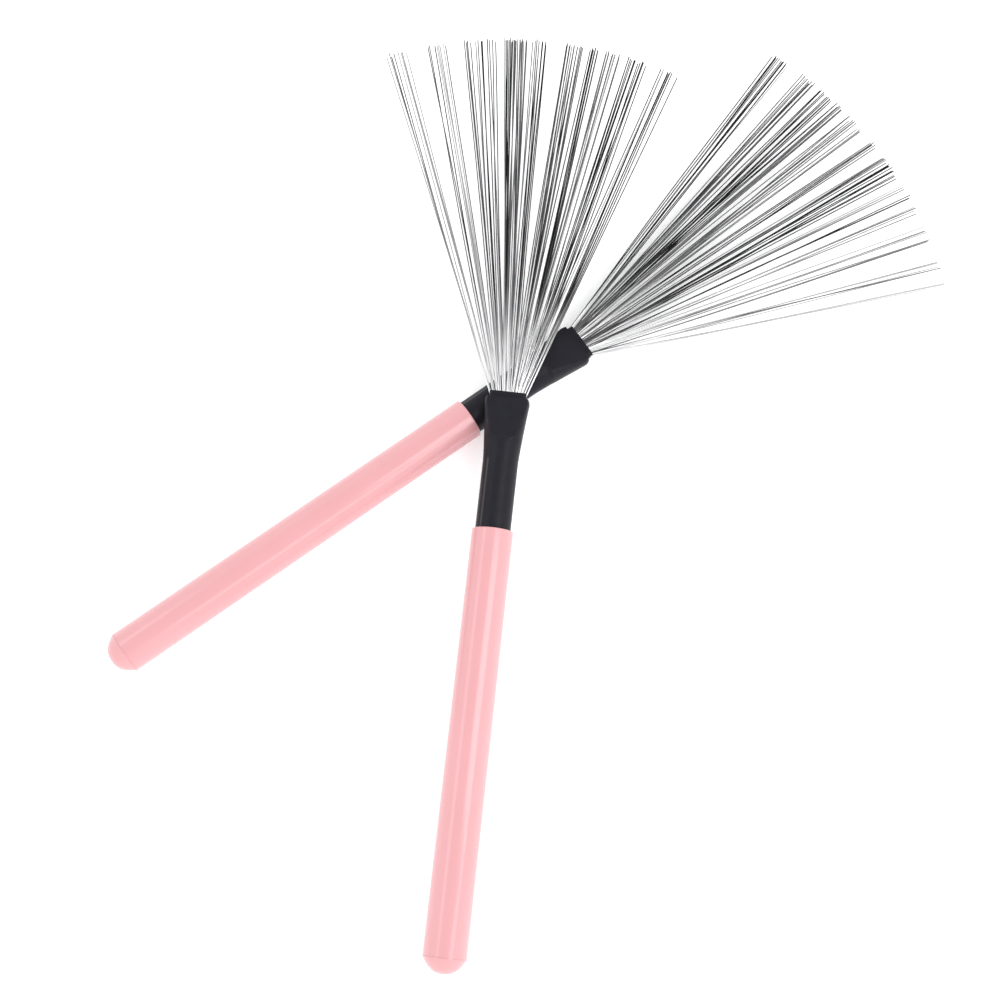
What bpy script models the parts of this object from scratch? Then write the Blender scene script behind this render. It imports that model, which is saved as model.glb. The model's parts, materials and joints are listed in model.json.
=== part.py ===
"""A crossed pair of wire drum brushes, lying on a table.

Both brushes are the same product: a pink sleeve with a domed cap over a black
painted steel tube, whose front end is pressed flat around a small ferrule.
Steel wires fan out of the ferrule in tufts.  The lower brush lies on its grip;
the upper one rests its flattened neck on the round neck of the lower one.

World frame: metres, +Z up, origin at the middle of the footprint on the table.
Brush frame: +Z along the brush towards the wires, +Y out of the fan's upper
side, +X to the left of the wires, origin where the wires leave the ferrule.
"""

import bpy
import bmesh
from math import atan2, cos, pi, radians, sin, sqrt, tan
from mathutils import Matrix, Vector

MM = 0.001

# ---- driving dimensions ------------------------------------------------------
HANDLE_LENGTH = 199.0 * MM      # domed end to the lip of the ferrule
NECK_LENGTH = 49.0 * MM         # bare neck, grip rim to the lip of the ferrule
WIRE_LENGTH = 131.0 * MM        # free wire past the lip
NECK_RADIUS = 6.05 * MM         # round part of the black tube
TUBE_WALL = 0.7 * MM
GRIP_WALL = 0.85 * MM           # grip at its open rim
GRIP_SWELL = 0.3 * MM           # how much larger the grip's radius is at the domed end
FERRULE_WIDTH = 13.0 * MM
FERRULE_HEIGHT = 4.0 * MM
FERRULE_WALL = 0.4 * MM
WIRE_DIAMETER = 0.3 * MM
TUFT_COUNT = 8
FAN_HALF_ANGLE = radians(21.0)

# How the two brushes lie: compass angle of each one, and where they cross.
LOWER_YAW = radians(35.3)
UPPER_YAW = radians(83.7)
LOWER_CROSSING = 31.8 * MM      # behind the lip of the lower brush
UPPER_CROSSING = -3.5 * MM      # behind the lip of the upper brush: just ahead of it
LOWER_FAN_SKEW = radians(-2.2)  # how far each fan has been splayed to its left
UPPER_FAN_SKEW = radians(1.9)

# ---- clearances --------------------------------------------------------------
GAP = 0.3 * MM                  # between pieces that touch
EDGE = 0.15 * MM                # small broken edges

# ---- details -----------------------------------------------------------------
SIDES = 48                      # facets of every turned piece
DOME_DEPTH = 5.3 * MM
DOME_STEPS = 9
CAP_BAND = 0.3 * MM             # straight band between dome and seam
CAP_SPIGOT_LENGTH = 10.0 * MM
RIM_ROUND = 0.45 * MM
LIP_LENGTH = 2.2 * MM           # ferrule in front of the black tube
FERRULE_LENGTH = 7.5 * MM
FERRULE_CORNER = 1.2 * MM
FLARE_LENGTH = 18.0 * MM        # pressed-flat stretch of the tube, from the lip
CREASE_LENGTH = 0.8 * MM        # where the press first bites into the tube
CREASE_DEPTH = 0.4 * MM
CREASE_HALF_FLAT = 2.2 * MM
SHOULDER_LENGTH = 2.0 * MM      # rounded corners of the pressed end
SHOULDER_INSET = 0.6 * MM
MOUTH_SIDE_WALL = 1.1 * MM      # the pressed tube is thicker at its folded sides

WIRE_ROWS = 4
ROW_ORDER = (0, 2, 1, 3)        # which row each wire of a column is in
WIRE_GAP = 0.06 * MM            # between neighbouring wires of a row at their roots
ROW_PITCH = 0.5 * MM
TIP_SPREAD = 2.0                # rows stand this much wider apart at the tips
TUFT_FILL = 0.86                # share of a tuft's angle that its wires take
TIP_RAGGEDNESS = 0.9 * MM
WIRE_SIDES = 5
BEAD_BACK = 2.2 * MM            # solder bead of a tuft, from the lip
BEAD_FRONT = 0.4 * MM
BEAD_MARGIN = 0.03 * MM
ROOT_SIDE_ROOM = 0.7 * MM       # beside the outer beads, for the wires' outward lean
WIRE_SEAT = 0.5 * MM            # length of a wire inside its bead

CRIMP_LENGTH = 3.7 * MM
BUNDLE_REAR_WIDTH = 4.4 * MM
BUNDLE_REAR_HEIGHT = 3.2 * MM
PLUG_LENGTH = 8.0 * MM

# ---- derived -----------------------------------------------------------------
TUBE_BORE = NECK_RADIUS - TUBE_WALL
GRIP_BORE = NECK_RADIUS + GAP
RIM_RADIUS = GRIP_BORE + GRIP_WALL
BUTT_RADIUS = RIM_RADIUS + GRIP_SWELL
MOUTH_WIDTH = FERRULE_WIDTH + 2 * (GAP + MOUTH_SIDE_WALL)
MOUTH_HEIGHT = FERRULE_HEIGHT + 2 * (GAP + TUBE_WALL)
DOME_EDGE = -HANDLE_LENGTH + DOME_DEPTH
GRIP_REAR = DOME_EDGE + CAP_BAND + GAP
TAPER = (BUTT_RADIUS - RIM_RADIUS) / (-NECK_LENGTH - GRIP_REAR)
APOTHEM = cos(pi / SIDES)       # facet distance over corner radius
HINGE_BACK = (BEAD_BACK + BEAD_FRONT) / 2
CRIMP_FRONT = FLARE_LENGTH + GAP
BEAD_HEIGHT = (WIRE_ROWS - 1) * ROW_PITCH + WIRE_DIAMETER + 2 * BEAD_MARGIN
FAN_APEX = FERRULE_WIDTH / 2 / tan(FAN_HALF_ANGLE)      # behind the lip
TUFT_ANGLE = 2 * FAN_HALF_ANGLE / (TUFT_COUNT - 1 + TUFT_FILL)
BEAD_ROOM = FERRULE_WIDTH - 2 * (FERRULE_WALL + ROOT_SIDE_ROOM)
TUFT_PITCH = (BEAD_ROOM + GAP) / TUFT_COUNT
BEAD_WIDTH = TUFT_PITCH - GAP
COLUMN_PITCH = WIRE_DIAMETER + WIRE_GAP
WIRE_COLUMNS = 1 + int((BEAD_WIDTH - WIRE_DIAMETER - 2 * BEAD_MARGIN) / COLUMN_PITCH)


# ---- scene -------------------------------------------------------------------
def clear_scene():
    for thing in list(bpy.data.objects):
        bpy.data.objects.remove(thing)


def new_collection(name):
    collection = bpy.data.collections.new(name)
    bpy.context.scene.collection.children.link(collection)
    return collection


def make_material(name, colour, roughness, metallic):
    material = bpy.data.materials.new(name)
    material.use_nodes = True
    shader = material.node_tree.nodes["Principled BSDF"]
    shader.inputs["Base Color"].default_value = (*colour, 1.0)
    shader.inputs["Roughness"].default_value = roughness
    shader.inputs["Metallic"].default_value = metallic
    material.diffuse_color = (*colour, 1.0)
    return material


def add_part(name, mesh, parent, material, sharp_angle=radians(35)):
    mesh.name = name
    mesh.materials.append(material)
    mesh.shade_smooth()
    mesh.set_sharp_from_angle(angle=sharp_angle)
    part = bpy.data.objects.new(name, mesh)
    parts.objects.link(part)
    part.parent = parent
    return part


def add_empty(name, parent, matrix):
    empty = bpy.data.objects.new(name, None)
    empty.empty_display_size = 0.01
    parts.objects.link(empty)
    empty.parent = parent
    empty.matrix_local = matrix
    return empty


# ---- shapes ------------------------------------------------------------------
def arc(centre_x, centre_z, radius_x, radius_z, start, end, steps):
    """Points (x, z) along an elliptical arc, angles from +x towards +z."""
    angles = [start + (end - start) * step / steps for step in range(steps + 1)]
    return [(centre_x + radius_x * cos(a), centre_z + radius_z * sin(a)) for a in angles]


def turned(profile, closed):
    """Mesh of a profile (x, z) turned about Z, with a facet facing straight down."""
    source = bpy.data.meshes.new("profile")
    count = len(profile)
    edges = [(i, i + 1) for i in range(count - 1)]
    if closed:
        edges.append((count - 1, 0))
    source.from_pydata([(x, 0.0, z) for x, z in profile], edges, [])
    lathe = bpy.data.objects.new("lathe", source)
    bpy.context.scene.collection.objects.link(lathe)
    screw = lathe.modifiers.new("turn", "SCREW")
    screw.steps = SIDES
    screw.render_steps = SIDES
    screw.use_merge_vertices = True
    screw.merge_threshold = 0.00001
    mesh = bpy.data.meshes.new_from_object(
        lathe.evaluated_get(bpy.context.evaluated_depsgraph_get()))
    mesh.transform(Matrix.Rotation(pi / SIDES, 4, "Z"))
    bpy.data.objects.remove(lathe)
    bpy.data.meshes.remove(source)
    return mesh


def oval(half_width, half_height, half_flat, station):
    """Ring of points with flats above and below and elliptical ends."""
    quarter_turns = SIDES // 2 - 1
    ring = []
    for side, start in ((1, -pi / 2), (-1, pi / 2)):
        for step in range(quarter_turns + 1):
            angle = start + pi * step / quarter_turns
            x = side * half_flat + (half_width - half_flat) * cos(angle)
            ring.append(Vector((x, half_height * sin(angle), station)))
    return ring


def round_ring(radius, station):
    return oval(radius, radius, radius * sin(pi / SIDES), station)


def rounded_box_ring(half_width, half_height, corner, station):
    """Ring of a rectangle with round corners, with as many points as an oval."""
    steps = SIDES // 4 - 1
    ring = []
    for turn, (sx, sy) in enumerate(((1, -1), (1, 1), (-1, 1), (-1, -1))):
        for step in range(steps + 1):
            angle = (turn - 1) * pi / 2 + pi / 2 * step / steps
            x = sx * (half_width - corner) + corner * cos(angle)
            y = sy * (half_height - corner) + corner * sin(angle)
            ring.append(Vector((x, y, station)))
    return ring


def loft(rings, hollow):
    """Closed mesh through rings of points.

    A solid is capped at both ends.  A hollow piece's rings run along the
    outside and back along the inside, and the last one joins the first.
    """
    bm = bmesh.new()
    loops = [[bm.verts.new(point) for point in ring] for ring in rings]
    pairs = list(zip(loops, loops[1:]))
    if hollow:
        pairs.append((loops[-1], loops[0]))
    for first, second in pairs:
        for i in range(len(first)):
            j = (i + 1) % len(first)
            bm.faces.new((first[i], first[j], second[j], second[i]))
    if not hollow:
        bm.faces.new(loops[0])
        bm.faces.new(loops[-1])
    bmesh.ops.recalc_face_normals(bm, faces=bm.faces)
    mesh = bpy.data.meshes.new("loft")
    bm.to_mesh(mesh)
    bm.free()
    return mesh


# ---- the black tube's outside, which the other brush also rests on ------------
def between(start, end, share):
    return start + (end - start) * share


def pressed_section(behind):
    """Half width, half height and half flat of the tube, this far behind the lip."""
    shoulder = LIP_LENGTH + SHOULDER_LENGTH
    crease = FLARE_LENGTH - CREASE_LENGTH
    end_flat = (MOUTH_WIDTH - MOUTH_HEIGHT) / 2
    if behind >= FLARE_LENGTH:
        return NECK_RADIUS, NECK_RADIUS, NECK_RADIUS * sin(pi / SIDES)
    if behind > crease:
        share = (FLARE_LENGTH - behind) / CREASE_LENGTH
        height = NECK_RADIUS - CREASE_DEPTH * share
        return NECK_RADIUS, height, between(NECK_RADIUS * sin(pi / SIDES), CREASE_HALF_FLAT, share)
    share = min(1.0, (crease - behind) / (crease - shoulder))
    half_width = between(NECK_RADIUS, MOUTH_WIDTH / 2, share)
    half_height = between(NECK_RADIUS - CREASE_DEPTH, MOUTH_HEIGHT / 2, share)
    half_flat = between(CREASE_HALF_FLAT, end_flat, share)
    if behind < shoulder:
        lean = (shoulder - behind) / SHOULDER_LENGTH
        half_width -= SHOULDER_INSET * (1 - sqrt(max(0.0, 1 - lean * lean)))
    return half_width, half_height, half_flat


def section_depth(behind, offset):
    """How far the front of a brush reaches below its axis, at a sideways offset, or None."""
    if behind < LIP_LENGTH:
        ahead = max(0.0, -behind)
        wires_half_width = FERRULE_WIDTH / 2 + ahead * tan(FAN_HALF_ANGLE)
        depth = BEAD_HEIGHT if behind < 0 else FERRULE_HEIGHT
        return depth / 2 if abs(offset) < wires_half_width else None
    half_width, half_height, half_flat = pressed_section(behind)
    beyond = max(0.0, abs(offset) - half_flat)
    reach = half_width - half_flat
    if beyond >= reach:
        return None
    return half_height * sqrt(1 - (beyond / reach) ** 2)


# ---- how the brushes lie -------------------------------------------------------
def brush_rotation(yaw, pitch):
    upright = Matrix(((0, 0, 1), (1, 0, 0), (0, 1, 0))).to_4x4()
    return Matrix.Rotation(yaw, 4, "Z") @ Matrix.Rotation(-pitch, 4, "Y") @ upright


def lower_axis_height(behind):
    """Height of the lower brush's axis over the table: its grip's lowest facet lies flat."""
    lean = atan2(TAPER * APOTHEM, 1.0)
    from_butt = -GRIP_REAR - behind
    return (BUTT_RADIUS * APOTHEM - from_butt * tan(lean)) * cos(lean)


def lower_neck_top(along, across):
    """Height of the lower neck at a place given from the crossing, in the upper brush's frame."""
    turn = UPPER_YAW - LOWER_YAW
    off_axis = along * sin(turn) + across * cos(turn)
    down_axis = along * cos(turn) - across * sin(turn)
    if abs(off_axis) >= NECK_RADIUS:
        return None
    axis_height = lower_axis_height(LOWER_CROSSING - down_axis)
    return axis_height + sqrt(NECK_RADIUS ** 2 - off_axis ** 2)


def upper_lip_height(pitch):
    """Lowest height of the upper brush's lip at which its neck clears the lower neck."""
    step = 0.25 * MM
    ahead, behind_lip, sideways = 15.0 * MM, 30.0 * MM, 8.0 * MM
    stations = [step * i for i in range(-int(ahead / step), int(behind_lip / step))]
    offsets = [step * i for i in range(-int(sideways / step), int(sideways / step) + 1)]
    highest = 0.0
    for behind in stations:
        for offset in offsets:
            depth = section_depth(behind, offset)
            top = lower_neck_top(UPPER_CROSSING - behind, offset)
            if depth is not None and top is not None:
                highest = max(highest, top + depth * cos(pitch) + behind * sin(pitch))
    return highest + GAP


def upper_tilt():
    """Nose-up pitch of the upper brush and its lip's height, with its butt on the table."""
    pitch = 0.0
    for _ in range(8):
        height = upper_lip_height(pitch)
        rise = height - BUTT_RADIUS * APOTHEM * cos(pitch)
        pitch = atan2(rise, sqrt(DOME_EDGE ** 2 - rise ** 2))
    return pitch, height


def place_frames(root):
    """Empties at the lips of the lower and the upper brush, crossing over the root."""
    lean = -atan2(TAPER * APOTHEM, 1.0)
    pitch, height = upper_tilt()
    forward_lower = Vector((cos(LOWER_YAW), sin(LOWER_YAW), 0)) * LOWER_CROSSING
    forward_upper = Vector((cos(UPPER_YAW), sin(UPPER_YAW), 0)) * UPPER_CROSSING
    forward_lower.z = lower_axis_height(0.0)
    forward_upper.z = height
    lower = Matrix.Translation(forward_lower) @ brush_rotation(LOWER_YAW, lean)
    upper = Matrix.Translation(forward_upper) @ brush_rotation(UPPER_YAW, pitch)
    return add_empty("lower_brush", root, lower), add_empty("upper_brush", root, upper)


# ---- the pieces of one brush ---------------------------------------------------
def grip(prefix, frame):
    rear, front = GRIP_REAR, -NECK_LENGTH
    profile = arc(RIM_RADIUS - RIM_ROUND, front - RIM_ROUND, RIM_ROUND, RIM_ROUND, pi / 2, 0, 4)
    profile += [(BUTT_RADIUS, rear + EDGE), (BUTT_RADIUS - EDGE, rear)]
    profile += [(GRIP_BORE, rear), (GRIP_BORE, front)]
    return add_part(prefix + "grip", turned(profile, True), frame, pink)


def end_cap(prefix, frame):
    """Plug pressed into the tube, with a pointed dome that starts at a crisp edge."""
    seam = GRIP_REAR - GAP
    spigot = TUBE_BORE - GAP
    tip = seam + CAP_SPIGOT_LENGTH
    profile = [(0.0, tip), (spigot - 2 * EDGE, tip), (spigot, tip - 2 * EDGE), (spigot, seam)]
    profile += [(BUTT_RADIUS - EDGE, seam), (BUTT_RADIUS, seam - EDGE)]
    shares = [1 - step / DOME_STEPS for step in range(DOME_STEPS + 1)]
    profile += [(BUTT_RADIUS * s, DOME_EDGE - DOME_DEPTH * (1 - s * s)) for s in shares]
    return add_part(prefix + "end_cap", turned(profile, False), frame, pink, radians(28))


def neck_tube(prefix, frame):
    """Steel tube through the grip, its front end pressed flat around the ferrule."""
    shoulder = LIP_LENGTH + SHOULDER_LENGTH
    stations = [-GRIP_REAR, NECK_LENGTH, FLARE_LENGTH, FLARE_LENGTH - CREASE_LENGTH]
    stations += [shoulder - SHOULDER_LENGTH * sin(pi / 2 * step / 4) for step in range(5)]
    rings = [oval(*pressed_section(behind), -behind) for behind in stations]
    slot_half_width = FERRULE_WIDTH / 2 + GAP
    slot_half_height = FERRULE_HEIGHT / 2 + GAP
    slot_corner = FERRULE_CORNER + GAP
    _, rear_height, rear_flat = pressed_section(FERRULE_LENGTH)
    rings.append(rounded_box_ring(slot_half_width, slot_half_height, slot_corner, -LIP_LENGTH))
    rings.append(oval(slot_half_width, rear_height - TUBE_WALL, rear_flat, -FERRULE_LENGTH))
    rings.append(round_ring(TUBE_BORE, -FLARE_LENGTH))
    rings.append(round_ring(TUBE_BORE, GRIP_REAR))
    return add_part(prefix + "neck_tube", loft(rings, True), frame, black_paint)


def mouth_ferrule(prefix, frame):
    """Flattened sleeve that the wires leave the brush through."""
    half_width, half_height = FERRULE_WIDTH / 2, FERRULE_HEIGHT / 2
    inner = (half_width - FERRULE_WALL, half_height - FERRULE_WALL)
    corner_inside = FERRULE_CORNER - FERRULE_WALL
    rings = [
        rounded_box_ring(half_width, half_height, FERRULE_CORNER, -FERRULE_LENGTH),
        rounded_box_ring(half_width, half_height, FERRULE_CORNER, -EDGE),
        rounded_box_ring(half_width - EDGE, half_height - EDGE, FERRULE_CORNER, 0.0),
        rounded_box_ring(*inner, corner_inside, 0.0),
        rounded_box_ring(*inner, corner_inside, -FERRULE_LENGTH),
    ]
    return add_part(prefix + "mouth_ferrule", loft(rings, True), frame, black_paint)


def wire_bundle(prefix, frame):
    """The wires inside the neck, gathered from the tufts back to the crimp ring."""
    rear = CRIMP_FRONT + CRIMP_LENGTH
    corner = BEAD_HEIGHT / 4
    rings = [
        rounded_box_ring(BEAD_ROOM / 2, BEAD_HEIGHT / 2, corner, -BEAD_BACK - GAP),
        rounded_box_ring(BUNDLE_REAR_WIDTH / 2, BUNDLE_REAR_HEIGHT / 2, corner, -CRIMP_FRONT + GAP),
        rounded_box_ring(BUNDLE_REAR_WIDTH / 2, BUNDLE_REAR_HEIGHT / 2, corner, -rear),
    ]
    return add_part(prefix + "wire_bundle", loft(rings, False), frame, bare_steel)


def crimp_ring(prefix, frame):
    """Steel ring in the tube's bore, squeezed around the gathered wires."""
    outer = TUBE_BORE - GAP
    slot_width = BUNDLE_REAR_WIDTH / 2 + GAP
    slot_height = BUNDLE_REAR_HEIGHT / 2 + GAP
    front, rear = -CRIMP_FRONT, -CRIMP_FRONT - CRIMP_LENGTH
    corner = BEAD_HEIGHT / 4
    rings = [
        round_ring(outer - EDGE, rear),
        round_ring(outer, rear + EDGE),
        round_ring(outer, front - EDGE),
        round_ring(outer - EDGE, front),
        rounded_box_ring(slot_width, slot_height, corner, front),
        rounded_box_ring(slot_width, slot_height, corner, rear),
    ]
    return add_part(prefix + "crimp_ring", loft(rings, True), frame, bare_steel)


def resin_plug(prefix, frame):
    """Resin poured behind the crimp ring, which keeps it from creeping back."""
    radius = TUBE_BORE - GAP
    top = -CRIMP_FRONT - CRIMP_LENGTH - GAP
    bottom = top - PLUG_LENGTH
    profile = [(0.0, top), (radius - 2 * EDGE, top), (radius, top - 2 * EDGE)]
    profile += [(radius, bottom + 2 * EDGE), (radius - 2 * EDGE, bottom), (0.0, bottom)]
    return add_part(prefix + "resin_plug", turned(profile, False), frame, resin)


# ---- the wires -------------------------------------------------------------------
def raggedness(tuft, wire):
    """Small repeatable difference in length from wire to wire, -1 to 1."""
    return sin(12.9898 * (tuft + 1) + 78.233 * (wire + 1))


def wire_ends(tuft, wire, skew):
    """Both ends of a wire, from the middle of the tufts' hinge line."""
    column, row = wire // WIRE_ROWS, ROW_ORDER[wire % WIRE_ROWS]
    middle = (TUFT_COUNT - 1) / 2
    root_x = (tuft - middle) * TUFT_PITCH + (column - (WIRE_COLUMNS - 1) / 2) * COLUMN_PITCH
    root_y = (row - (WIRE_ROWS - 1) / 2) * ROW_PITCH
    share = (wire + 0.5) / (WIRE_COLUMNS * WIRE_ROWS) - 0.5
    angle = (tuft - middle + share * TUFT_FILL) * TUFT_ANGLE + skew
    reach = FAN_APEX + WIRE_LENGTH + TIP_RAGGEDNESS * raggedness(tuft, wire)
    root = Vector((root_x, root_y, HINGE_BACK - BEAD_FRONT - WIRE_SEAT))
    tip_z = reach * cos(angle) - FAN_APEX + HINGE_BACK
    return root, Vector((reach * sin(angle), root_y * TIP_SPREAD, tip_z))


def add_wire(bm, root, tip):
    span = tip - root
    turn = span.to_track_quat("Z", "Y").to_matrix().to_4x4()
    place = Matrix.Translation((root + tip) / 2) @ turn
    bmesh.ops.create_cone(
        bm, cap_ends=True, segments=WIRE_SIDES, radius1=WIRE_DIAMETER / 2,
        radius2=WIRE_DIAMETER / 2, depth=span.length, matrix=place)


def tuft_strands(name, tuft, skew, hinge):
    """The loose wires of a tuft, which a union joins to its bead."""
    bm = bmesh.new()
    for wire in range(WIRE_COLUMNS * WIRE_ROWS):
        root, tip = wire_ends(tuft, wire, skew)
        add_wire(bm, root, tip)
    mesh = bpy.data.meshes.new(name)
    bm.to_mesh(mesh)
    bm.free()
    strands = bpy.data.objects.new(name, mesh)
    cutters.objects.link(strands)
    strands.parent = hinge
    strands.hide_render = True
    strands.display_type = "WIRE"
    return strands


def wire_tuft(prefix, tuft, skew, hinge):
    """Solder bead with its wires; it bends about the hinge line through the bead."""
    bm = bmesh.new()
    size = Matrix.Diagonal((BEAD_WIDTH, BEAD_HEIGHT, BEAD_BACK - BEAD_FRONT, 1.0))
    offset = (tuft - (TUFT_COUNT - 1) / 2) * TUFT_PITCH
    bmesh.ops.create_cube(bm, size=1.0, matrix=Matrix.Translation((offset, 0, 0)) @ size)
    mesh = bpy.data.meshes.new("bead")
    bm.to_mesh(mesh)
    bm.free()
    part = add_part(f"{prefix}wire_tuft_{tuft + 1}", mesh, hinge, wire_steel, radians(60))
    union = part.modifiers.new("wires", "BOOLEAN")
    union.operation = "UNION"
    union.object = tuft_strands(part.name + "_strands", tuft, skew, hinge)
    return part


def brush(prefix, frame, skew):
    grip(prefix, frame)
    end_cap(prefix, frame)
    neck_tube(prefix, frame)
    mouth_ferrule(prefix, frame)
    wire_bundle(prefix, frame)
    crimp_ring(prefix, frame)
    resin_plug(prefix, frame)
    hinge = add_empty(prefix + "wire_hinge", frame, Matrix.Translation((0, 0, -HINGE_BACK)))
    for tuft in range(TUFT_COUNT):
        wire_tuft(prefix, tuft, skew, hinge)


def centre_on_table(root):
    """Move the root so that the world origin is under the middle of the pair."""
    bpy.context.view_layer.update()
    depsgraph = bpy.context.evaluated_depsgraph_get()
    corners = []
    for part in parts.objects:
        if part.type == "MESH":
            shape = part.evaluated_get(depsgraph)
            corners += [shape.matrix_world @ vertex.co for vertex in shape.data.vertices]
    for axis in (0, 1):
        values = [corner[axis] for corner in corners]
        root.location[axis] = -(min(values) + max(values)) / 2
    root.location.z = -min(corner.z for corner in corners)
    bpy.context.view_layer.update()


clear_scene()
parts = new_collection("wire_drum_brushes")
cutters = new_collection("cutters")
pink = make_material("pink_plastic", (0.93, 0.44, 0.45), 0.28, 0.0)
black_paint = make_material("black_paint", (0.016, 0.017, 0.021), 0.38, 0.0)
bare_steel = make_material("bare_steel", (0.55, 0.55, 0.56), 0.3, 1.0)
wire_steel = make_material("wire_steel", (0.62, 0.62, 0.63), 0.25, 1.0)
resin = make_material("resin", (0.35, 0.26, 0.12), 0.4, 0.0)

pair = add_empty("pair", None, Matrix.Identity(4))
lower_frame, upper_frame = place_frames(pair)
brush("lower_", lower_frame, LOWER_FAN_SKEW)
brush("upper_", upper_frame, UPPER_FAN_SKEW)
centre_on_table(pair)
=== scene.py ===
"""Looks of a crossed pair of wire drum brushes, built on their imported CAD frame.

Every piece that shows is rebuilt finer than its CAD solid, from sizes measured
on that solid, and the wires of each tuft are made one by one.

Brush space: X to the left of the wires, Y out of the fan's upper side, Z along
the brush towards the wires, origin where the wires leave the ferrule, metres.
"""

import json
import random
from math import atan, atan2, cos, pi, radians, sin, sqrt, tan

import bmesh
import bpy
from mathutils import Matrix, Vector

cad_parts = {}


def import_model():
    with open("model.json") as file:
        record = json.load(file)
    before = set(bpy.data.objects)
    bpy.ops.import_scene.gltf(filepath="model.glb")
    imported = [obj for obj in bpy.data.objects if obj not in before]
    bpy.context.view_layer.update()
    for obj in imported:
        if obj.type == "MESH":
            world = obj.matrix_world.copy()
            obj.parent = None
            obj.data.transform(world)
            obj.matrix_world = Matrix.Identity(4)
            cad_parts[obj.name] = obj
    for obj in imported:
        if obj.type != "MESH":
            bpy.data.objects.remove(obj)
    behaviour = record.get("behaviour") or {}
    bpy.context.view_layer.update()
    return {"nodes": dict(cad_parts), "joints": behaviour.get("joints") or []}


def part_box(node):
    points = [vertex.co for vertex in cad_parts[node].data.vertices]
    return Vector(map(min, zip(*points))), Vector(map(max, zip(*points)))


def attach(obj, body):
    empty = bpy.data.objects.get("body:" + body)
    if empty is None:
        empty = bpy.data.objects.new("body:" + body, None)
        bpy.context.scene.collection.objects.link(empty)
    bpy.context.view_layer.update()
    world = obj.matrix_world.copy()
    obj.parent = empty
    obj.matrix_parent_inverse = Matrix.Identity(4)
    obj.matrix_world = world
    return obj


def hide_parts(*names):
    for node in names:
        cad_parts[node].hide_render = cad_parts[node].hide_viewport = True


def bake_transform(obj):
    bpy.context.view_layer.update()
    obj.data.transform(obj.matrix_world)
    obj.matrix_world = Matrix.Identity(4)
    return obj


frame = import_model()

MM = 0.001
SIDES = 128                 # around every turned or lofted piece
INSIDE = 0.998              # rounder pieces are this much slimmer, to stay within the CAD facets

# ---- the grip, its cap and the ferrule ---------------------------------------------
SEAM = 0.015 * MM           # hairline between the grip and its cap
SEAM_EDGE = 0.08 * MM       # rounding of both edges at that seam
RIM_ROUND = 0.5 * MM        # rounding of the grip's rim at the neck
RIM_ZONE = 1.5 * MM         # CAD points this near the grip's front belong to its rim
SAME_BAND = 0.01 * MM       # points this close in radius lie on the cap's widest band
SEAM_ZONE = 0.2 * MM        # and this close, on the band or on its bevel at the seam
SPIGOT_ZONE = 1.0 * MM      # the spigot's points lie at least this far in front of the seam
DOME_STEPS = 28
DOME_FULLNESS = 2.6         # 2 is a paraboloid, more has rounder shoulders
FERRULE_WALL = 0.4 * MM

# ---- the wires, as (first angle, last angle, how many, tone) ---------------------
# Angles are degrees to the left of the tuft's middle.  Tufts run from right to left.
# Each group's tone is painted reflection: the wires are all one steel, and their base colours are
# made paler and darker for the light they reflect.
PALE, GREY, DARK = 0.42, 0.14, 0.015
FANS = {
    "upper_": [
        [(-2.4, -2.2, 1, DARK), (-1.2, 0.5, 9, DARK)],
        [(-2.7, 0.0, 12, DARK), (1.1, 3.2, 11, GREY)],
        [(-1.2, 0.1, 9, DARK), (0.9, 3.6, 12, GREY)],
        [(0.9, 2.8, 9, DARK)],
        [(-1.9, 0.6, 14, GREY), (0.6, 1.7, 6, DARK)],
        [(-2.7, 2.2, 12, GREY)],
        [(-0.9, 0.8, 6, PALE), (1.4, 1.7, 2, GREY)],
        [(-0.6, 2.5, 8, PALE)],
    ],
    "lower_": [
        [(-2.3, -1.9, 3, PALE), (-0.3, 1.3, 5, PALE)],
        [(-0.9, -0.6, 3, GREY), (0.3, 1.2, 4, PALE)],
        [(-1.7, -0.7, 4, PALE), (0.7, 1.1, 3, DARK), (1.8, 2.8, 4, PALE)],
        [(-1.1, 2.5, 16, DARK)],
        [(-1.2, -0.3, 6, DARK), (1.8, 2.2, 3, DARK)],
        [(-2.6, -0.3, 8, GREY), (0.7, 1.9, 8, GREY)],
        [(-2.7, -0.2, 11, DARK), (0.6, 3.0, 10, GREY)],
        [(0.0, 2.8, 11, DARK)],
    ],
}
WIRE_RINGS = 14
WIRE_SIDES = 8
WIRE_RADIUS = 0.19 * MM
SIDE_ROOM = 1.3 * WIRE_RADIUS       # from the outermost wires' middles to the ferrule's sides
FLAT_ROOM = 1.5 * WIRE_RADIUS       # and from the outer layers' middles to the bead's flats
TIP_ZONE = 60 * MM          # CAD points further than this from the lip outline the fan
ROOT_DEPTH = 2.1 * MM       # how far behind the lip the wires are soldered in
ROOT_OVERLAP = 0.35 * MM    # how far a tuft's wires stray among its neighbours' at the lip
ROOT_SHUFFLE = 0.40         # how much the wires of a tuft cross, as a share of its width
LAYERS = 4
LAYER_SPREAD = 2.0          # layers stand this much wider apart at the tips
BOW = 0.7 * MM              # largest sideways bend of a wire
BOW_UPWARDS = 0.5           # share of it that a wire may bend out of the fan's plane
BOW_PLACE = (0.45, 0.65)    # where along a wire its bend is largest
AIM_ERROR = 0.0016          # radians by which a wire misses its angle
ANGLE_JITTER = 0.22         # degrees by which wires stray from even spacing
TONE_SPREAD = (0.6, 1.4)    # a wire's tone is its group's times a number from this range
TRIM = 1.0 * MM             # shorter than the longest CAD wire
RAGGED = 0.9 * MM           # how uneven the trimmed tips are
ODD_ONES = 0.28             # share of wires that are brighter or darker than their group
# The roots' tones are painted light: most roots get a bright base colour for the highlight at the
# lip, the rest a dimmer one.
BRIGHT_ROOTS = {"upper_": 0.93, "lower_": 0.5}      # share of wires that are bright at the lip
BRIGHT_TONE = 1.5 * GREY    # wires paler than this are bright there as well
ROOT_BRIGHT, ROOT_DARK = 1.0, 0.12
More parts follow.
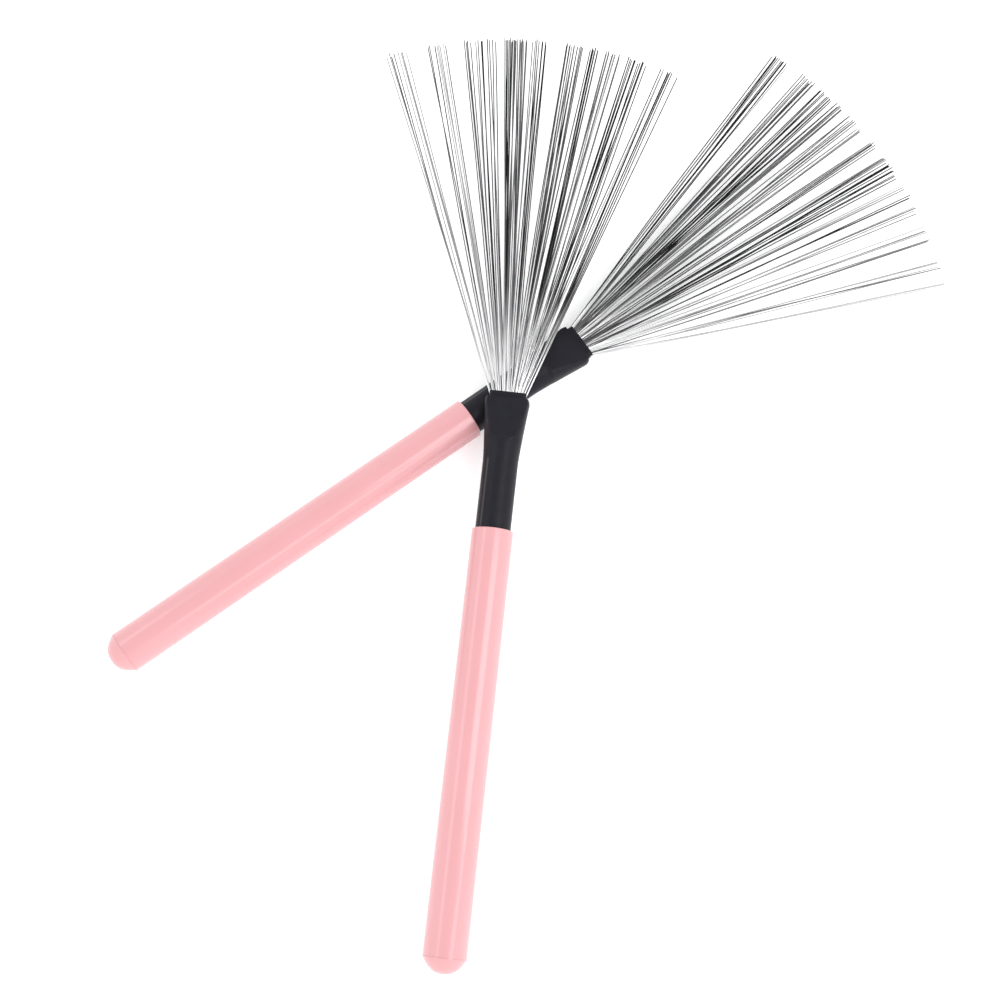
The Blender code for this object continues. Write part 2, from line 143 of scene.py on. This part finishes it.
ROOT_FADE = 0.34            # share of a wire's length over which it takes its own tone
BEAD_LENGTH = 1.5 * MM
BEAD_BEVEL = 0.15 * MM

# ---- the camera and the floor ------------------------------------------------------
CAMERA_ELEVATION = radians(77.0)
CAMERA_DISTANCE = 0.70
CAMERA_AIM = Vector((-0.0125, -0.0021, 0.0))
CAMERA_LENS = 71.2
FLOOR_RADIUS = 8.0


# ---- sizes taken from the frame ----------------------------------------------------
def brush_space(prefix):
    """Matrix from a brush's own space to the row frame."""
    hinge = next(j for j in frame["joints"] if j["name"] == prefix + "tuft_1_flex")
    left = -Vector(hinge["axis"]).normalized()
    low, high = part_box(prefix + "crimp_ring")
    forward = (Vector(hinge["pos_m"]) - (low + high) / 2).normalized()
    up = forward.cross(left).normalized()
    left = up.cross(forward)
    turn = Matrix((left, up, forward)).transposed().to_4x4()
    space = Matrix.Translation(hinge["pos_m"]) @ turn
    lip = max(point.z for point in node_points(space, prefix + "mouth_ferrule"))
    return space @ Matrix.Translation((0, 0, lip))


def node_points(space, name):
    """Corners of a CAD node in brush space."""
    to_brush = space.inverted()
    return [to_brush @ vertex.co for vertex in frame["nodes"][name].data.vertices]


def radius(point):
    return sqrt(point.x ** 2 + point.y ** 2)


def reach(points, measure):
    values = [measure(point) for point in points]
    return min(values), max(values)


# ---- mesh helpers --------------------------------------------------------------------
def smooth(share):
    """A share of 0 to 1 that starts and ends gently."""
    share = min(1.0, max(0.0, share))
    return share * share * (3 - 2 * share)


def evenly(start, end, steps):
    """Places from start up to, but not including, end."""
    return [start + (end - start) * i / steps for i in range(steps)]


def skin(bm, rings, closed):
    """Faces through rings of points.  Closed: the last ring joins the first one."""
    loops = [[bm.verts.new(point) for point in ring] for ring in rings]
    pairs = list(zip(loops, loops[1:]))
    if closed:
        pairs.append((loops[-1], loops[0]))
    for first, second in pairs:
        for i in range(len(first)):
            j = (i + 1) % len(first)
            bm.faces.new((first[i], first[j], second[j], second[i]))
    if not closed:
        bm.faces.new(loops[0])
        bm.faces.new(loops[-1])
    return loops


def circle(ring_radius, station):
    turns = [2 * pi * (i + 0.5) / SIDES for i in range(SIDES)]
    return [Vector((ring_radius * cos(a), ring_radius * sin(a), station)) for a in turns]


def rounded_box(half_width, half_height, corner, station):
    """Ring of a rectangle with round corners, with as many points as a circle."""
    steps = SIDES // 4 - 1
    ring = []
    for turn, (sx, sy) in enumerate(((1, 1), (-1, 1), (-1, -1), (1, -1))):
        for step in range(steps + 1):
            angle = (turn + step / steps) * pi / 2
            x = sx * (half_width - corner) + corner * cos(angle)
            y = sy * (half_height - corner) + corner * sin(angle)
            ring.append(Vector((x, y, station)))
    return ring


def arc(centre_r, centre_z, size, start, end, steps):
    """Points of a turned profile, as (radius, station), round a quarter turn or less."""
    angles = [start + (end - start) * i / steps for i in range(steps + 1)]
    return [(centre_r + size * cos(a), centre_z + size * sin(a)) for a in angles]


def new_object(name, bm, space, materials, sharp):
    """An object placed in brush space, smooth but for edges sharper than an angle."""
    bmesh.ops.recalc_face_normals(bm, faces=bm.faces)
    mesh = bpy.data.meshes.new(name)
    bm.to_mesh(mesh)
    bm.free()
    for material in materials:
        mesh.materials.append(material)
    mesh.shade_smooth()
    mesh.set_sharp_from_angle(angle=sharp)
    piece = bpy.data.objects.new(name, mesh)
    bpy.context.scene.collection.objects.link(piece)
    piece.matrix_world = space
    return piece


def add_piece(name, bm, space, body, replaced, materials, sharp=radians(32)):
    piece = new_object(name, bm, space, materials, sharp)
    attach(piece, body)
    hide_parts(replaced)


# ---- materials -------------------------------------------------------------------------
class Graph:
    """A material's nodes, with short ways to add one and join it up."""

    MIX_FACTOR, MIX_FIRST, MIX_SECOND, MIX_COLOUR = 0, 6, 7, 2      # a Mix node's colour sockets

    def __init__(self, name):
        self.material = bpy.data.materials.new(name)
        self.material.use_nodes = True
        self.tree = self.material.node_tree
        self.shader = self.tree.nodes["Principled BSDF"]

    def add(self, kind, **settings):
        node = self.tree.nodes.new("ShaderNode" + kind)
        for key, value in settings.items():
            setattr(node, key, value)
        return node

    def join(self, output, socket):
        self.tree.links.new(output, socket)

    def coordinates(self, stretch):
        place = self.add("TexCoord")
        mapping = self.add("Mapping")
        mapping.inputs["Scale"].default_value = stretch
        self.join(place.outputs["Object"], mapping.inputs["Vector"])
        return mapping.outputs["Vector"]

    def noise(self, scale, detail, stretch=(1, 1, 1)):
        texture = self.add("TexNoise")
        texture.inputs["Scale"].default_value = scale
        texture.inputs["Detail"].default_value = detail
        self.join(self.coordinates(stretch), texture.inputs["Vector"])
        return texture.outputs["Fac"]

    def attribute(self, name):
        return self.add("Attribute", attribute_name=name).outputs["Fac"]

    def ramp(self, factor, stops):
        """Colours or greys at given shares of a factor."""
        ramp = self.add("ValToRGB")
        while len(ramp.color_ramp.elements) < len(stops):
            ramp.color_ramp.elements.new(0.5)
        for element, (share, colour) in zip(ramp.color_ramp.elements, stops):
            element.position = share
            element.color = (*colour, 1.0) if isinstance(colour, tuple) else (colour,) * 3 + (1.0,)
        self.join(factor, ramp.inputs["Fac"])
        return ramp.outputs["Color"]

    def spread(self, factor, low, high):
        """A factor of 0.3 to 0.7, as noise gives, mapped to a range of values."""
        mapped = self.add("MapRange")
        mapped.inputs["From Min"].default_value = 0.3
        mapped.inputs["From Max"].default_value = 0.7
        mapped.inputs["To Min"].default_value = low
        mapped.inputs["To Max"].default_value = high
        self.join(factor, mapped.inputs["Value"])
        return mapped.outputs["Result"]

    def mix(self, factor, first, second):
        mixer = self.add("Mix", data_type="RGBA")
        for socket, value in ((self.MIX_FIRST, first), (self.MIX_SECOND, second)):
            if isinstance(value, tuple):
                mixer.inputs[socket].default_value = (*value, 1.0)
            else:
                self.join(value, mixer.inputs[socket])
        self.join(factor, mixer.inputs[self.MIX_FACTOR])
        return mixer.outputs[self.MIX_COLOUR]

    def bump(self, height, distance):
        node = self.add("Bump")
        node.inputs["Distance"].default_value = distance
        self.join(height, node.inputs["Height"])
        return node.outputs["Normal"]

    def set(self, **values):
        for key, value in values.items():
            socket = self.shader.inputs[key.replace("_", " ")]
            if isinstance(value, bpy.types.NodeSocket):
                self.join(value, socket)
            else:
                socket.default_value = value
        return self.material


def pink_plastic():
    """Glossy moulded sleeve: even pastel colour with a hint of ripple and handling."""
    g = Graph("pink_plastic")
    clouds = g.noise(45, 3)
    colour = g.ramp(clouds, [(0.3, (0.640, 0.316, 0.328)), (0.7, (0.660, 0.326, 0.338))])
    ripple = g.bump(g.noise(70, 2, (1, 1, 0.35)), 0.03 * MM)
    return g.set(Base_Color=colour, Roughness=g.spread(g.noise(120, 2), 0.16, 0.20), IOR=1.52,
                 Normal=ripple)


def black_paint():
    """Satin paint on steel, a little paler along its sharp edges: partly wear, partly a painted
    edge highlight.
    """
    g = Graph("black_paint")
    clouds = g.noise(300, 4)
    paint = g.ramp(clouds, [(0.3, (0.0125, 0.0125, 0.0168)), (0.7, (0.0150, 0.0150, 0.0202))])
    # paler sharp edges, picked out by pointiness: wear together with a painted edge highlight
    edge = g.ramp(g.add("NewGeometry").outputs["Pointiness"], [(0.56, 0.0), (0.68, 1.0)])
    wear_and_painted_edge_highlight = g.mix(edge, paint, (0.05, 0.05, 0.055))
    spray = g.bump(g.noise(1800, 3), 0.006 * MM)
    return g.set(Base_Color=wear_and_painted_edge_highlight, Roughness=g.spread(g.noise(400, 3), 0.36, 0.42), IOR=1.20,
                 Normal=spray)


def bare_steel():
    """Plain pressed steel with a fine grain across the strip."""
    g = Graph("bare_steel")
    grain = g.noise(1500, 4, (0.08, 1, 1))
    colour = g.ramp(grain, [(0.3, (0.36, 0.36, 0.37)), (0.7, (0.58, 0.58, 0.58))])
    return g.set(Base_Color=colour, Metallic=1.0, Roughness=g.spread(grain, 0.24, 0.4),
                 Normal=g.bump(grain, 0.006 * MM))


def wire_steel():
    """Drawn spring wire; its base colour carries a painted reflection tone per wire and a painted
    highlight at the roots.
    """
    g = Graph("wire_steel")
    drawn = g.noise(60, 2, (1, 1, 0.4))
    # painted light: the tone attribute, painted reflection and root highlight, sets the base
    # colour
    own = g.ramp(g.attribute("tone"), [(0.0, (0.012, 0.012, 0.012)), (1.0, (0.92, 0.92, 0.92))])
    soiled_and_painted_tone = g.mix(g.spread(drawn, 0.0, 0.15), own, (0.10, 0.10, 0.10))
    return g.set(Base_Color=soiled_and_painted_tone, Specular_Tint=soiled_and_painted_tone, Metallic=1.0,
                 Roughness=g.spread(drawn, 0.30, 0.36))


def cured_resin():
    """Amber glue, a little cloudy."""
    g = Graph("cured_resin")
    clouds = g.noise(400, 4)
    colour = g.ramp(clouds, [(0.3, (0.28, 0.19, 0.08)), (0.7, (0.42, 0.31, 0.15))])
    return g.set(Base_Color=colour, Roughness=g.spread(clouds, 0.3, 0.5),
                 Normal=g.bump(clouds, 0.05 * MM))


def studio_floor():
    """White sheet, faintly lit from behind like a product photographer's table."""
    g = Graph("studio_floor")
    colour = g.ramp(g.noise(3, 2), [(0.3, (0.88, 0.88, 0.88)), (0.7, (0.90, 0.90, 0.90))])
    return g.set(Base_Color=colour, Roughness=0.9, Emission_Color=colour, Emission_Strength=0.42)


# ---- the pieces of one brush ---------------------------------------------------------------
def cap_sizes(prefix, space):
    """Radius of the cap, and where along the brush its tip, dome edge and seam are."""
    points = node_points(space, prefix + "end_cap")
    cap_radius = max(radius(p) for p in points)
    band = [p.z for p in points if radius(p) > cap_radius - SAME_BAND]
    seam = max(p.z for p in points if radius(p) > cap_radius - SEAM_ZONE)
    return cap_radius * INSIDE, min(p.z for p in points), min(band), seam


def grip(prefix, space):
    """Sleeve with a softly rounded rim at the neck and a fine seam at the cap."""
    points = node_points(space, prefix + "grip")
    front = max(p.z for p in points)
    bore = min(radius(p) for p in points)
    rim_radius = max(radius(p) for p in points if p.z > front - RIM_ZONE) * INSIDE
    butt_radius, _, _, seam = cap_sizes(prefix, space)
    rear = seam + SEAM
    edge = SEAM_EDGE
    profile = arc(rim_radius - RIM_ROUND, front - RIM_ROUND, RIM_ROUND, pi / 2, 0, 8)
    profile += arc(butt_radius - edge, rear + edge, edge, 0, -pi / 2, 3)
    profile += [(bore, rear), (bore, front)]
    bm = bmesh.new()
    skin(bm, [circle(r, z) for r, z in profile], True)
    add_piece(prefix + "grip_sleeve", bm, space, prefix + "brush", prefix + "grip",
              [pink])


def end_cap(prefix, space):
    """Pressed-in plug: spigot, narrow band, crisp edge and a dome."""
    points = node_points(space, prefix + "end_cap")
    cap_radius, tip, dome_edge, seam = cap_sizes(prefix, space)
    front = max(p.z for p in points)
    spigot = max(radius(p) for p in points if p.z > seam + SPIGOT_ZONE)
    edge = SEAM_EDGE
    chamfer = 4 * edge
    profile = [(spigot - chamfer, front), (spigot, front - chamfer), (spigot, seam)]
    profile += arc(cap_radius - edge, seam - edge, edge, pi / 2, 0, 3)
    shares = [1 - step / DOME_STEPS for step in range(DOME_STEPS)]
    depth = tip - dome_edge
    profile += [(cap_radius * s, dome_edge + depth * (1 - s ** DOME_FULLNESS)) for s in shares]
    bm = bmesh.new()
    skin(bm, [circle(r, z) for r, z in profile], False)
    add_piece(prefix + "domed_cap", bm, space, prefix + "brush", prefix + "end_cap",
              [pink], sharp=radians(26))


class NeckShape:
    """The black tube's outside, with its sizes read off the CAD tube."""

    REAR_ZONE = 1.0 * MM        # CAD points this near the rear give the round tube's sizes
    MOUTH_ZONE = 2.2 * MM       # CAD points this near the front give the mouth's sizes
    PRESSED_ZONE = -25 * MM     # the first CAD points in front of this start the flats
    FLARE_LEAD = 7.0 * MM       # the flare starts this far behind the flats
    FLARE_CURVE = 1.25          # 1 is a straight flare
    SHOULDER = 2.0 * MM         # length of the rounded corners at the mouth
    SHOULDER_TURN = 0.7 * MM    # how far those corners draw in
    PRESS_LENGTH = 1.8 * MM     # over which the press bites in
    PRESS_DEPTH = 0.34 * MM
    CREASE_FLAT = 3.0 * MM      # half width of the flat where it begins
    FOLD = 1.1 * MM             # width of the fold beside the flat at the mouth

    def __init__(self, prefix, space):
        points = node_points(space, prefix + "neck_tube")
        self.rear, self.front = reach(points, lambda p: p.z)
        round_end = [p for p in points if p.z < self.rear + self.REAR_ZONE]
        self.radius = max(radius(p) for p in round_end)
        self.bore = min(radius(p) for p in round_end)
        mouth = [p for p in points if p.z > self.front - self.MOUTH_ZONE]
        self.mouth_half_width = max(p.x for p in mouth)
        self.mouth_half_height = max(p.y for p in mouth)
        self.crease = min(p.z for p in points if p.z > self.PRESSED_ZONE)
        self.flare = self.crease - self.FLARE_LEAD
        self.shoulder = self.front - self.SHOULDER

    def section(self, station):
        """Half width, half height and half flat of the tube at a place along it."""
        if station <= self.flare:
            return self.radius, self.radius, 0.0
        widening = min(1.0, (station - self.flare) / (self.shoulder - self.flare))
        widening = widening ** self.FLARE_CURVE
        half_width = self.radius + (self.mouth_half_width - self.radius) * widening
        if station > self.shoulder:
            lean = (station - self.shoulder) / (self.front - self.shoulder)
            half_width -= self.SHOULDER_TURN * (1 - sqrt(max(0.0, 1 - lean * lean)))
        if station <= self.crease:
            return half_width, self.radius, 0.0
        share = min(1.0, (station - self.crease) / (self.shoulder - self.crease))
        bite = smooth((station - self.crease) / self.PRESS_LENGTH)
        half_height = self.radius + (self.mouth_half_height - self.radius) * share
        half_height -= self.PRESS_DEPTH * bite * (1 - share)
        mouth_flat = self.mouth_half_width - self.FOLD
        half_flat = bite * (self.CREASE_FLAT * (1 - share) + mouth_flat * share)
        return half_width, half_height, half_flat

    def ring(self, station):
        """Flat above and below, with a rounded fold at each side."""
        half_width, half_height, half_flat = self.section(station)
        turns = [(i + 0.5) / (SIDES // 4) * pi / 2 for i in range(SIDES // 4)]
        side = half_width - half_flat
        quarter = [(half_flat + side * cos(t), half_height * sin(t)) for t in turns]
        back = list(reversed(quarter))
        ring = [Vector((x, y, station)) for x, y in quarter]
        ring += [Vector((-x, y, station)) for x, y in back]
        ring += [Vector((-x, -y, station)) for x, y in quarter]
        ring += [Vector((x, -y, station)) for x, y in back]
        return ring


def neck_tube(prefix, space):
    """Painted steel tube, round in the grip and pressed flat round the ferrule."""
    shape = NeckShape(prefix, space)
    points = node_points(space, prefix + "mouth_ferrule")
    ferrule_rear = min(p.z for p in points)
    slot_room = 0.3 * MM
    slot_half_width = max(p.x for p in points) + slot_room
    slot_half_height = max(p.y for p in points) + slot_room
    slot_corner = 1.5 * MM
    press_end = shape.crease + shape.PRESS_LENGTH
    straight = [-60 * MM, -40 * MM]
    stations = [shape.rear] + straight
    stations += evenly(shape.flare, shape.crease, 12)
    stations += evenly(shape.crease, press_end, 12)
    stations += evenly(press_end, shape.shoulder, 24)
    depth = shape.front - shape.shoulder
    stations += [shape.shoulder + depth * sin(pi / 2 * i / 10) for i in range(10)]
    rings = [shape.ring(station) for station in stations]
    edge = 0.25 * MM
    edge_steps = 4
    last = shape.ring(shape.front)
    for i in range(edge_steps):
        turn = pi / 2 * (i + 1) / edge_steps
        inward = edge * (1 - cos(turn))
        along = shape.front - edge + edge * sin(turn)
        rings.append([shrunk(p, inward, along) for p in last])
    rings.append(rounded_box(slot_half_width, slot_half_height, slot_corner, shape.front))
    rings.append(rounded_box(slot_half_width, slot_half_height, slot_corner, ferrule_rear))
    rings.append(circle(shape.bore, shape.crease))
    rings.append(circle(shape.bore, shape.rear))
    bm = bmesh.new()
    skin(bm, rings, True)
    add_piece(prefix + "pressed_neck", bm, space, prefix + "brush", prefix + "neck_tube",
              [black])


def shrunk(point, inward, station):
    """A ring's point drawn towards the axis by a distance, at another station."""
    length = sqrt(point.x ** 2 + point.y ** 2)
    share = (length - inward) / length
    return Vector((point.x * share, point.y * share, station))


def mouth_ferrule(prefix, space):
    """Flattened sleeve, painted outside, with its rolled end and inside left bare."""
    points = node_points(space, prefix + "mouth_ferrule")
    rear, front = reach(points, lambda p: p.z)
    half_width = max(p.x for p in points)
    half_height = max(p.y for p in points)
    wall = FERRULE_WALL
    edge = 0.18 * MM
    corner = 1.2 * MM
    rings = [rounded_box(half_width, half_height, corner, rear)]
    rings += [rounded_box(half_width, half_height, corner, front - 3 * edge)]
    for i in range(5):
        turn = pi / 2 * i / 4
        inset = edge * (1 - cos(turn))
        rings.append(rounded_box(half_width - inset, half_height - inset, corner - inset,
                                 front - edge + edge * sin(turn)))
    painted = len(rings) - 2
    rings.append(rounded_box(half_width - wall, half_height - wall, corner - wall, front))
    rings.append(rounded_box(half_width - wall, half_height - wall, corner - wall, rear))
    bm = bmesh.new()
    skin(bm, rings, True)
    bm.faces.ensure_lookup_table()
    for index, face in enumerate(bm.faces):
        face.material_index = 0 if index < painted * SIDES else 1
    add_piece(prefix + "ferrule_lip", bm, space, prefix + "brush", prefix + "mouth_ferrule",
              [black, bare])


class Fan:
    """The fan's outline, measured on the CAD tufts: its apex, reach and thickness.

    The apex is how far behind the lip the fan's straight edges would meet.
    """

    def __init__(self, prefix, space, count):
        ferrule = node_points(space, prefix + "mouth_ferrule")
        self.half_width = max(p.x for p in ferrule)
        self.inner_half_width = self.half_width - FERRULE_WALL
        tufts = [node_points(space, f"{prefix}wire_tuft_{n + 1}") for n in range(count)]
        tips = [[p for p in tuft if p.z > TIP_ZONE] for tuft in tufts]
        right = min(tips[0], key=lambda p: p.x)
        left = max(tips[-1], key=lambda p: p.x)
        lean_left = atan((left.x - self.half_width) / left.z)
        lean_right = atan((-right.x - self.half_width) / right.z)
        self.apex = self.half_width / tan((lean_left + lean_right) / 2)
        self.middles = []
        for tuft in tips:
            low, high = reach(tuft, lambda p: atan2(p.x, p.z + self.apex))
            self.middles.append((low + high) / 2)
        self.length = max(sqrt(p.x ** 2 + (p.z + self.apex) ** 2) for t in tips for p in t)
        bead = [p for p in tufts[0] if p.z < 0]
        self.half_height = max(abs(p.y) for p in bead)
        self.root_edges = []
        for tuft in tufts:
            self.root_edges.append(reach([p for p in tuft if p.z < 0], lambda p: p.x))


def wire_path(fan, angle, root_x, height, rng):
    """Points from a wire's soldered root to its trimmed tip."""
    length = fan.length - TRIM - RAGGED * rng.random() ** 1.5
    lean = rng.uniform(-AIM_ERROR, AIM_ERROR)
    root = Vector((root_x, height, -ROOT_DEPTH))
    tip = Vector((length * sin(angle + lean), height * LAYER_SPREAD,
                  length * cos(angle + lean) - fan.apex))
    sideways = rng.uniform(-1, 1) * BOW
    upwards = rng.uniform(-1, 1) * BOW * BOW_UPWARDS
    middle = rng.uniform(*BOW_PLACE)
    points = []
    for i in range(WIRE_RINGS):
        share = i / (WIRE_RINGS - 1)
        swell = sin(pi * share ** (0.5 / middle)) ** 2
        points.append(root.lerp(tip, share) + Vector((sideways * swell, upwards * swell, 0)))
    return points


def add_wire(bm, points, root_tone, tone, layer):
    """A tube along a path, whose tone runs from its root's to its own."""
    rings = []
    for i, point in enumerate(points):
        ahead = points[min(i + 1, len(points) - 1)] - points[max(i - 1, 0)]
        turn = ahead.to_track_quat("Z", "Y").to_matrix()
        spokes = [2 * pi * k / WIRE_SIDES for k in range(WIRE_SIDES)]
        rings.append([point + turn @ Vector((cos(a), sin(a), 0)) * WIRE_RADIUS for a in spokes])
    loops = skin(bm, rings, False)
    # painted light: the root's painted highlight fades into the wire's painted reflection tone
    for i, loop in enumerate(loops):
        share = smooth(i / (len(loops) - 1) / ROOT_FADE)
        for vertex in loop:
            vertex[layer] = root_tone + (tone - root_tone) * share


def add_bead(bm, fan, tuft, layer):
    """The small solder block that the tuft's wires are held by, inside the ferrule."""
    low, high = fan.root_edges[tuft]
    size = (high - low, 2 * fan.half_height, BEAD_LENGTH)
    place = Matrix.Translation(((low + high) / 2, 0, -ROOT_DEPTH + BEAD_LENGTH / 2))
    made = bmesh.ops.create_cube(bm, size=1.0, matrix=place @ Matrix.Diagonal((*size, 1.0)))
    for vertex in made["verts"]:
        vertex[layer] = GREY
    edges = {edge for vertex in made["verts"] for edge in vertex.link_edges}
    bmesh.ops.bevel(bm, geom=list(edges), offset=BEAD_BEVEL, segments=2, affect="EDGES")


def wires_of(prefix, tuft, rng):
    """Angle and tone of each wire of a tuft, from its right to its left."""
    wires = []
    for first, last, count, tone in FANS[prefix][tuft]:
        for i in range(count):
            angle = first + (last - first) * (i + 0.5) / count
            angle += rng.uniform(-ANGLE_JITTER, ANGLE_JITTER)
            # odd wires get another painted reflection tone at random
            shade = rng.choice((PALE, GREY, DARK)) if rng.random() < ODD_ONES else tone
            wires.append((radians(angle), shade * rng.uniform(*TONE_SPREAD)))
    return wires


def root_place(fan, tuft, share, rng):
    """Where across the lip a wire leaves the ferrule; together the tufts fill it."""
    room = fan.inner_half_width - SIDE_ROOM
    pitch = 2 * room / len(fan.middles)
    wide = pitch + 2 * ROOT_OVERLAP
    share = share + rng.uniform(-1, 1) * ROOT_SHUFFLE - 0.5
    place = (tuft + 0.5) * pitch - room + share * wide
    return min(room, max(-room, place))


def wire_tuft(prefix, space, fan, tuft, rng):
    """One tuft: its wires in layers, neighbours in different ones, and their bead."""
    bm = bmesh.new()
    layer = bm.verts.layers.float.new("tone")
    wires = wires_of(prefix, tuft, rng)
    for i, (angle, tone) in enumerate(wires):
        root_x = root_place(fan, tuft, (i + 0.5) / len(wires), rng)
        row = (i * 2 + i // 2) % LAYERS
        height = (2 * row / (LAYERS - 1) - 1) * (fan.half_height - FLAT_ROOM)
        path = wire_path(fan, fan.middles[tuft] + angle, root_x, height, rng)
        # painted highlight: most wire roots get a bright base colour
        bright = rng.random() < BRIGHT_ROOTS[prefix] or tone > BRIGHT_TONE
        add_wire(bm, path, ROOT_BRIGHT if bright else ROOT_DARK, tone, layer)
    add_bead(bm, fan, tuft, layer)
    piece = new_object(f"{prefix}wires_{tuft + 1}", bm, space, [steel_wire], radians(60))
    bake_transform(piece)
    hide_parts(f"{prefix}wire_tuft_{tuft + 1}")


def brush(prefix, seed):
    """All the pieces of one brush; the hidden ones keep their CAD shape."""
    space = brush_space(prefix)
    grip(prefix, space)
    end_cap(prefix, space)
    neck_tube(prefix, space)
    mouth_ferrule(prefix, space)
    fan = Fan(prefix, space, len(FANS[prefix]))
    rng = random.Random(seed)
    for tuft in range(len(FANS[prefix])):
        wire_tuft(prefix, space, fan, tuft, rng)
    hidden = {"wire_bundle": bare, "crimp_ring": bare, "resin_plug": resin}
    for name, material in hidden.items():
        frame["nodes"][prefix + name].material_slots[0].material = material


# ---- the studio ------------------------------------------------------------------------------
def floor():
    bm = bmesh.new()
    bmesh.ops.create_circle(bm, cap_ends=True, segments=96, radius=FLOOR_RADIUS)
    mesh = bpy.data.meshes.new("studio_floor")
    bm.to_mesh(mesh)
    bm.free()
    mesh.materials.append(studio_floor())
    plate = bpy.data.objects.new("studio_floor", mesh)
    bpy.context.scene.collection.objects.link(plate)


def softbox(name, azimuth, from_zenith, distance, width, height, power):
    """Soft area light aimed at the brushes; azimuth 0 is to the right, 90 is behind them."""
    a, z = radians(azimuth), radians(from_zenith)
    away = Vector((cos(a) * sin(z), sin(a) * sin(z), cos(z)))
    light = bpy.data.lights.new(name, "AREA")
    light.shape = "RECTANGLE"
    light.size = width
    light.size_y = height
    light.energy = power
    box = bpy.data.objects.new(name, light)
    bpy.context.scene.collection.objects.link(box)
    box.location = away * distance
    box.rotation_euler = away.to_track_quat("Z", "Y").to_euler()
    box.visible_camera = False


def world():
    """Pale room: bright all round the horizon and dimmer overhead."""
    room = bpy.data.worlds.new("studio")
    bpy.context.scene.world = room
    room.use_nodes = True
    nodes, links = room.node_tree.nodes, room.node_tree.links
    place = nodes.new("ShaderNodeTexCoord")
    split = nodes.new("ShaderNodeSeparateXYZ")
    ramp = nodes.new("ShaderNodeValToRGB")
    ramp.color_ramp.elements[0].position = 0.45
    ramp.color_ramp.elements[0].color = (1, 1, 1, 1)
    ramp.color_ramp.elements[1].position = 0.90
    ramp.color_ramp.elements[1].color = (0.50, 0.50, 0.52, 1)
    links.new(place.outputs["Generated"], split.inputs["Vector"])
    links.new(split.outputs["Z"], ramp.inputs["Fac"])
    links.new(ramp.outputs["Color"], nodes["Background"].inputs["Color"])
    nodes["Background"].inputs["Strength"].default_value = 1.42


def camera():
    view = bpy.data.cameras.new("camera")
    view.lens = CAMERA_LENS
    view.sensor_width = 36
    view.clip_end = 50
    holder = bpy.data.objects.new("camera", view)
    bpy.context.scene.collection.objects.link(holder)
    back = Vector((0, -cos(CAMERA_ELEVATION), sin(CAMERA_ELEVATION)))
    holder.location = CAMERA_AIM + back * CAMERA_DISTANCE
    holder.rotation_euler = back.to_track_quat("Z", "Y").to_euler()
    bpy.context.scene.camera = holder


pink = pink_plastic()
black = black_paint()
bare = bare_steel()
steel_wire = wire_steel()
resin = cured_resin()

brush("lower_", 11)
brush("upper_", 23)

floor()
world()
softbox("key", azimuth=-10, from_zenith=30, distance=1.2, width=0.6, height=0.66, power=4.8)
softbox("strip", azimuth=-57, from_zenith=41, distance=1.2, width=0.8, height=0.26, power=1.7)
softbox("fill", azimuth=180, from_zenith=43, distance=1.2, width=1.0, height=0.3, power=1.8)
camera()
bpy.context.scene.view_settings.view_transform = "Standard"
